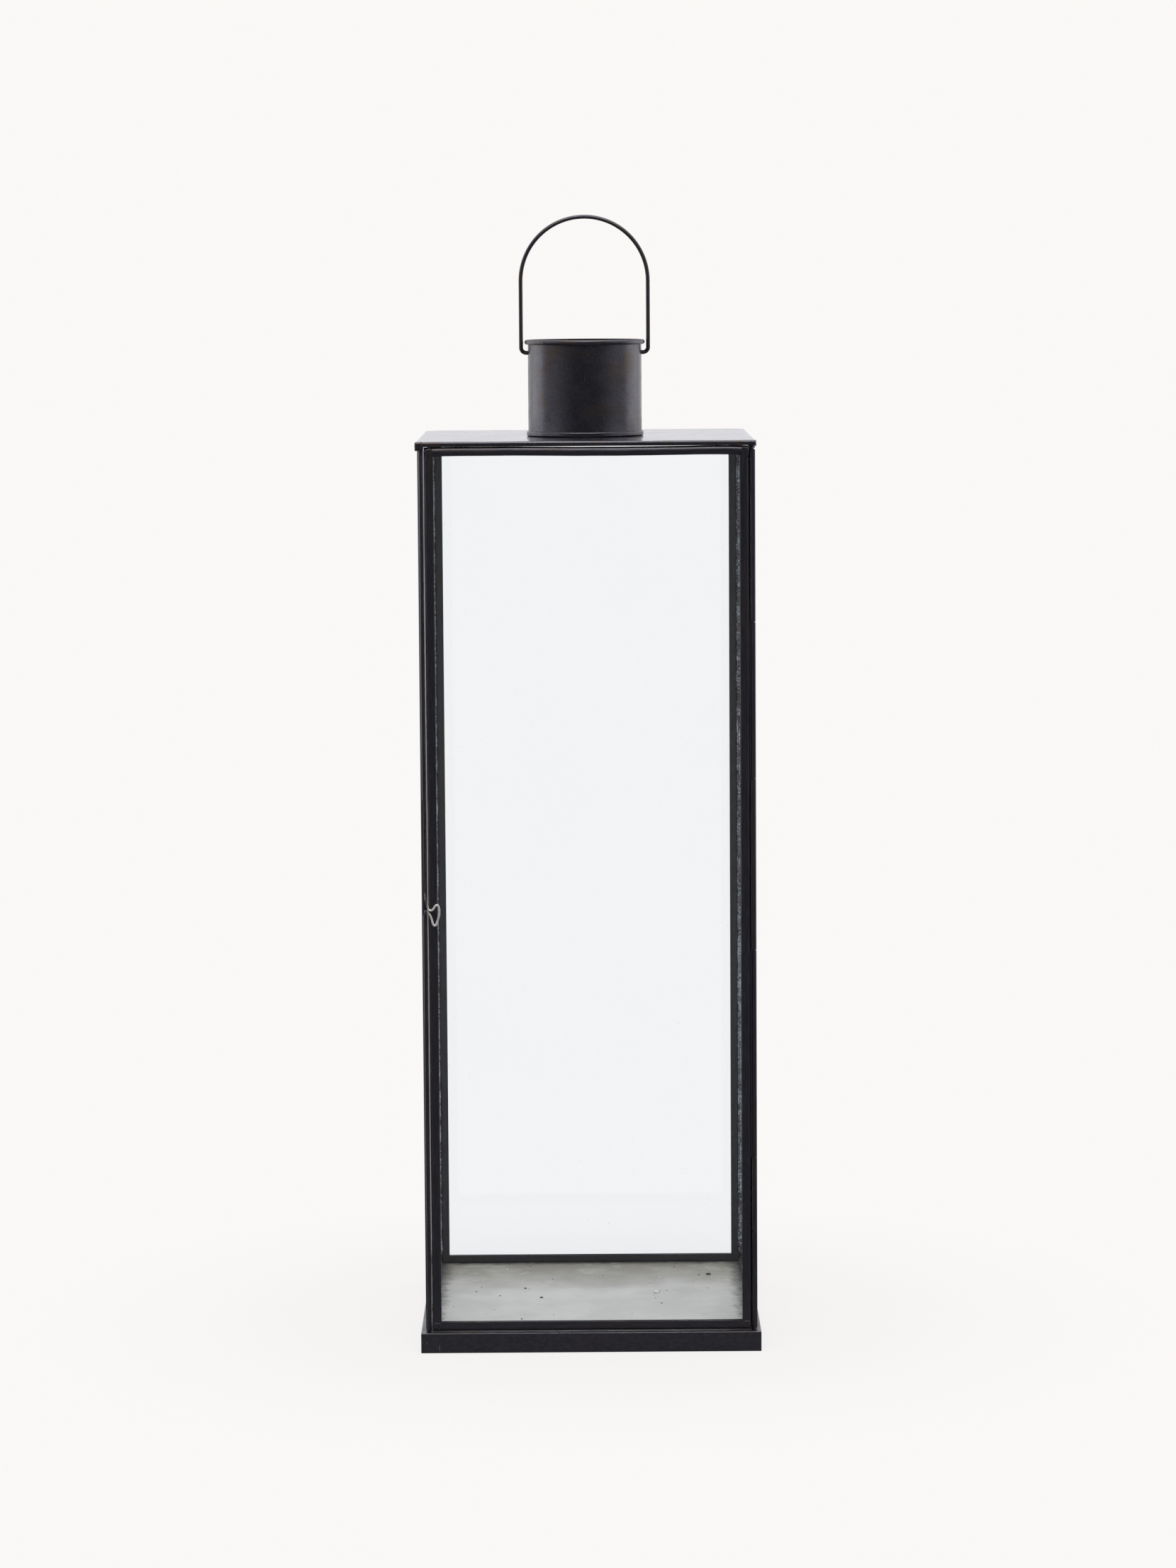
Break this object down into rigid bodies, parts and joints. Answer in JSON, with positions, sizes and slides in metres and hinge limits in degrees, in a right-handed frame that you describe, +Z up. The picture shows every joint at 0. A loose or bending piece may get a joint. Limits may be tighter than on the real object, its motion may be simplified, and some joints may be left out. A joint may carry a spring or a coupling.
{
  "type": "candle lantern",
  "caption": "Tall square glass candle lantern with a slim dark metal frame, hinged front door, wire latch, folded roof, round chimney and wire bail.",
  "frame": {"origin": "middle of the plinth's underside, on the ground", "axes": "+Z up; -Y is the front, where the door is; +X is the hinge side"},
  "size_m": [0.2, 0.2, 0.6647],
  "materials": {
    "black_metal": "satin near-black patina with brown undertone",
    "floor_metal": "dull zinc-coated sheet",
    "clear_glass": "clear polished",
    "latch_metal": "bare drawn wire"
  },
  "bodies": {
    "lantern": {"base_plinth": "black_metal", "floor_plate": "floor_metal", "left_bottom_rail": "black_metal", "left_top_rail": "black_metal", "left_front_stile": "black_metal", "left_rear_stile": "black_metal", "left_glass": "clear_glass", "right_bottom_rail": "black_metal", "right_top_rail": "black_metal", "right_front_stile": "black_metal", "right_rear_stile": "black_metal", "right_glass": "clear_glass", "rear_bottom_rail": "black_metal", "rear_top_rail": "black_metal", "rear_left_stile": "black_metal", "rear_right_stile": "black_metal", "rear_glass": "clear_glass", "roof_cap": "black_metal", "chimney": "black_metal", "frame_knuckles": "black_metal", "hinge_pin": "black_metal", "latch_sleeve": "black_metal"},
    "door": {"door_bottom_rail": "black_metal", "door_top_rail": "black_metal", "door_latch_stile": "black_metal", "door_hinge_stile": "black_metal", "door_glass": "clear_glass", "door_knuckles": "black_metal"},
    "bail": {"bail_handle": "black_metal"},
    "latch": {"latch_hook": "latch_metal"}
  },
  "joints": [
    {"name": "door_hinge", "type": "hinge", "parent": "lantern", "child": "door", "pos_m": [0.0965, -0.0941, 0.2716], "axis": [0, 0, 1], "range_deg": [0, 170]},
    {"name": "bail_hinge", "type": "hinge", "parent": "lantern", "child": "bail", "pos_m": [0, 0, 0.5833], "axis": [1, 0, 0], "range_deg": [-120, 120]},
    {"name": "latch_turn", "type": "hinge", "parent": "lantern", "child": "latch", "pos_m": [-0.0952, -0.0941, 0.2926], "axis": [0, 0, 1], "range_deg": [-110, 0]}
  ]
}
